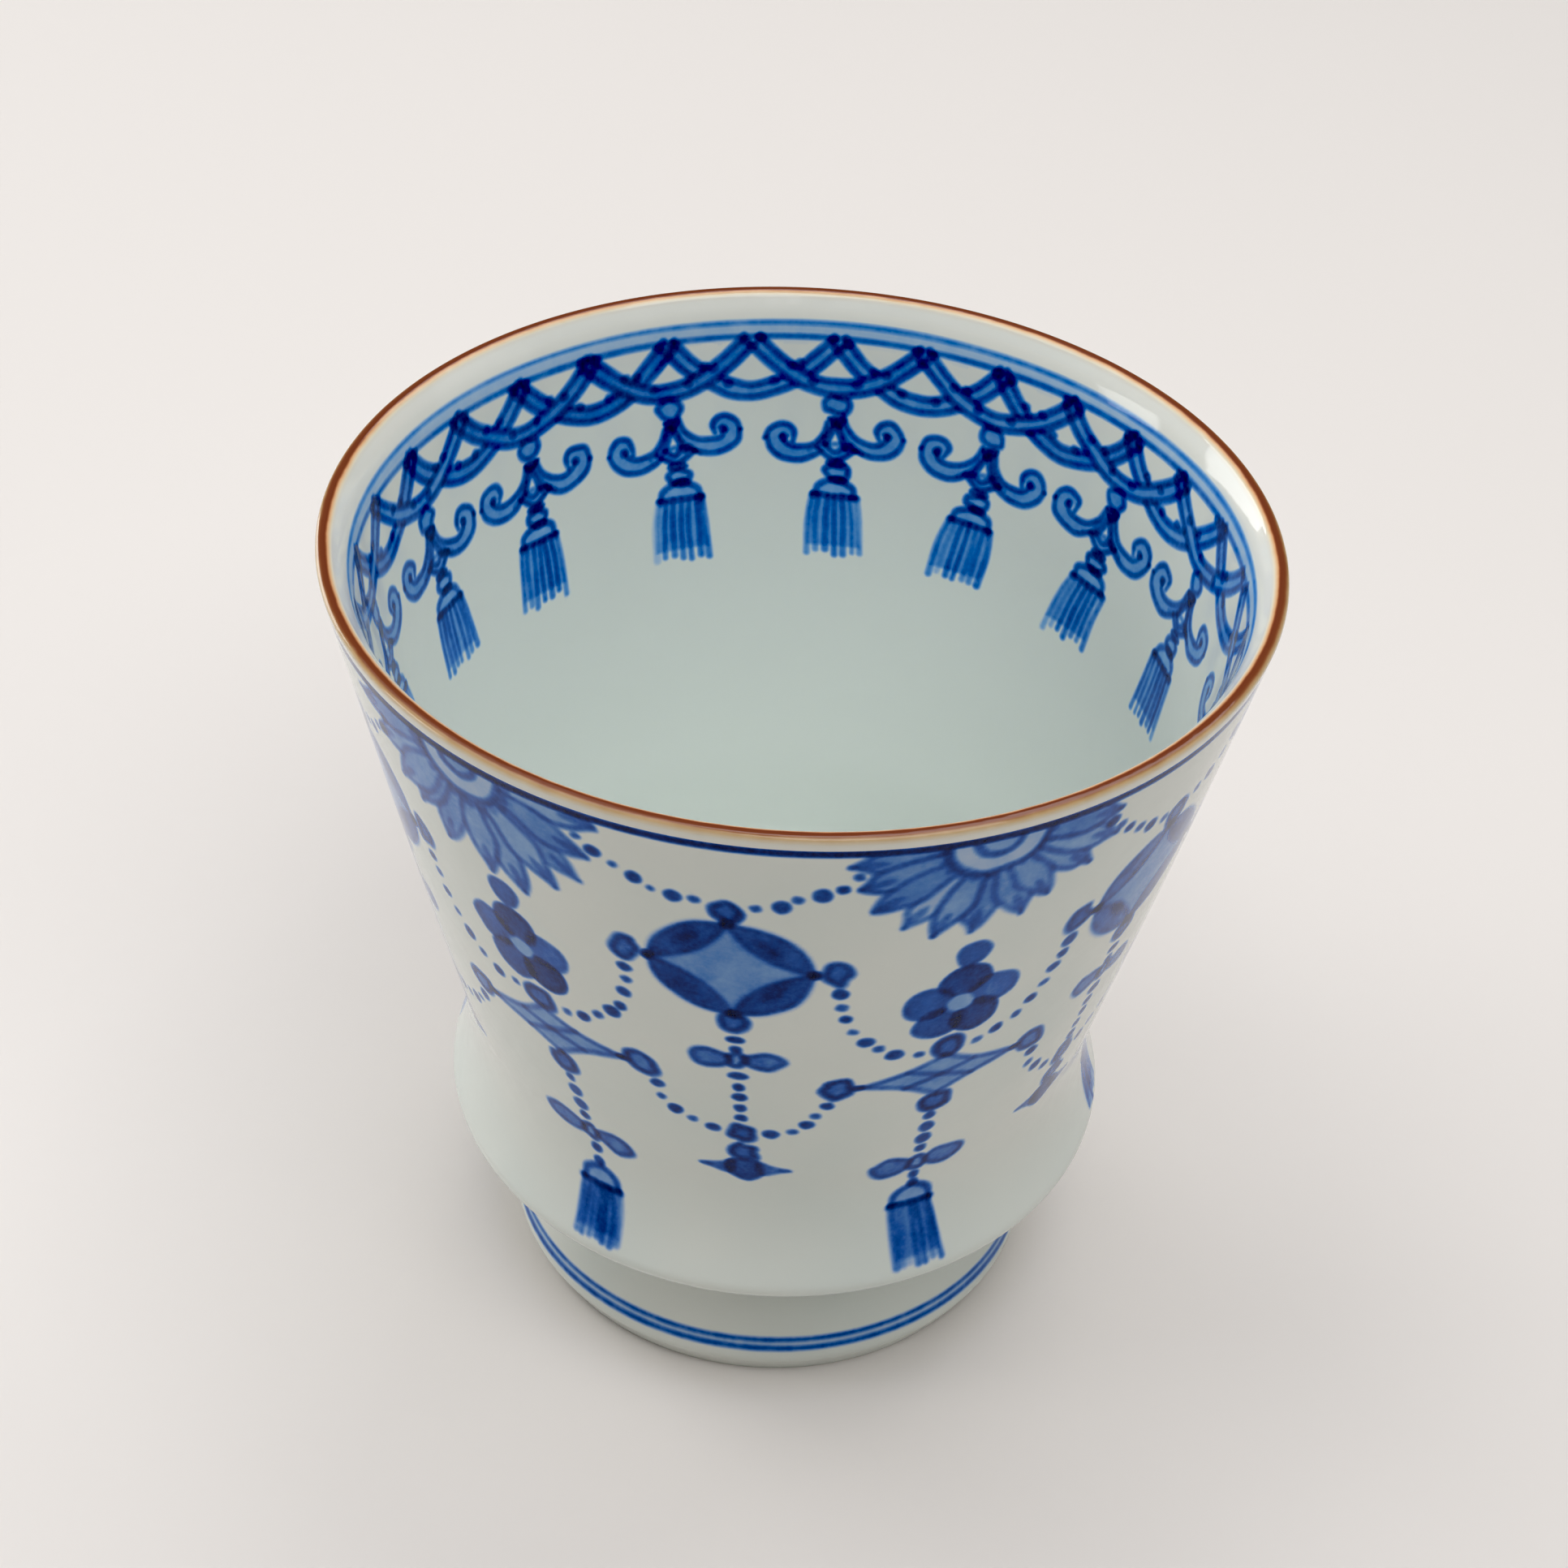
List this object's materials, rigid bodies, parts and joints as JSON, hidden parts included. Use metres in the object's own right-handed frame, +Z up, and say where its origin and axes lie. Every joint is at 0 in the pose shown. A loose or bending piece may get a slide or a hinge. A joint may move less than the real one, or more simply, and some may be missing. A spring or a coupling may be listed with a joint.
{
  "type": "tea cup",
  "caption": "Flared porcelain tea cup with a narrow waist, a rounded belly and a tall foot ring; blue painted pendants and an iron-brown lip.",
  "frame": {"origin": "centre of the foot ring's contact face, where the cup stands", "axes": "+Z up the cup's axis, towards the mouth; the cup is round, and its painting repeats six times about Z"},
  "size_m": [0.0852, 0.0852, 0.0829],
  "materials": {
    "porcelain_body": "fired white porcelain, bare and matt on the contact face of the foot",
    "clear_glaze": "glossy clear glaze with a faint blue-green cast, over cobalt-blue painting",
    "iron_glaze": "glossy iron-brown glaze, thin and amber at its edges"
  },
  "bodies": {
    "root": {"cup_body": "porcelain_body", "foot_ring": "porcelain_body", "outside_glaze": "clear_glaze", "inside_glaze": "clear_glaze", "foot_well_glaze": "clear_glaze", "rim_glaze": "iron_glaze"}
  },
  "joints": []
}
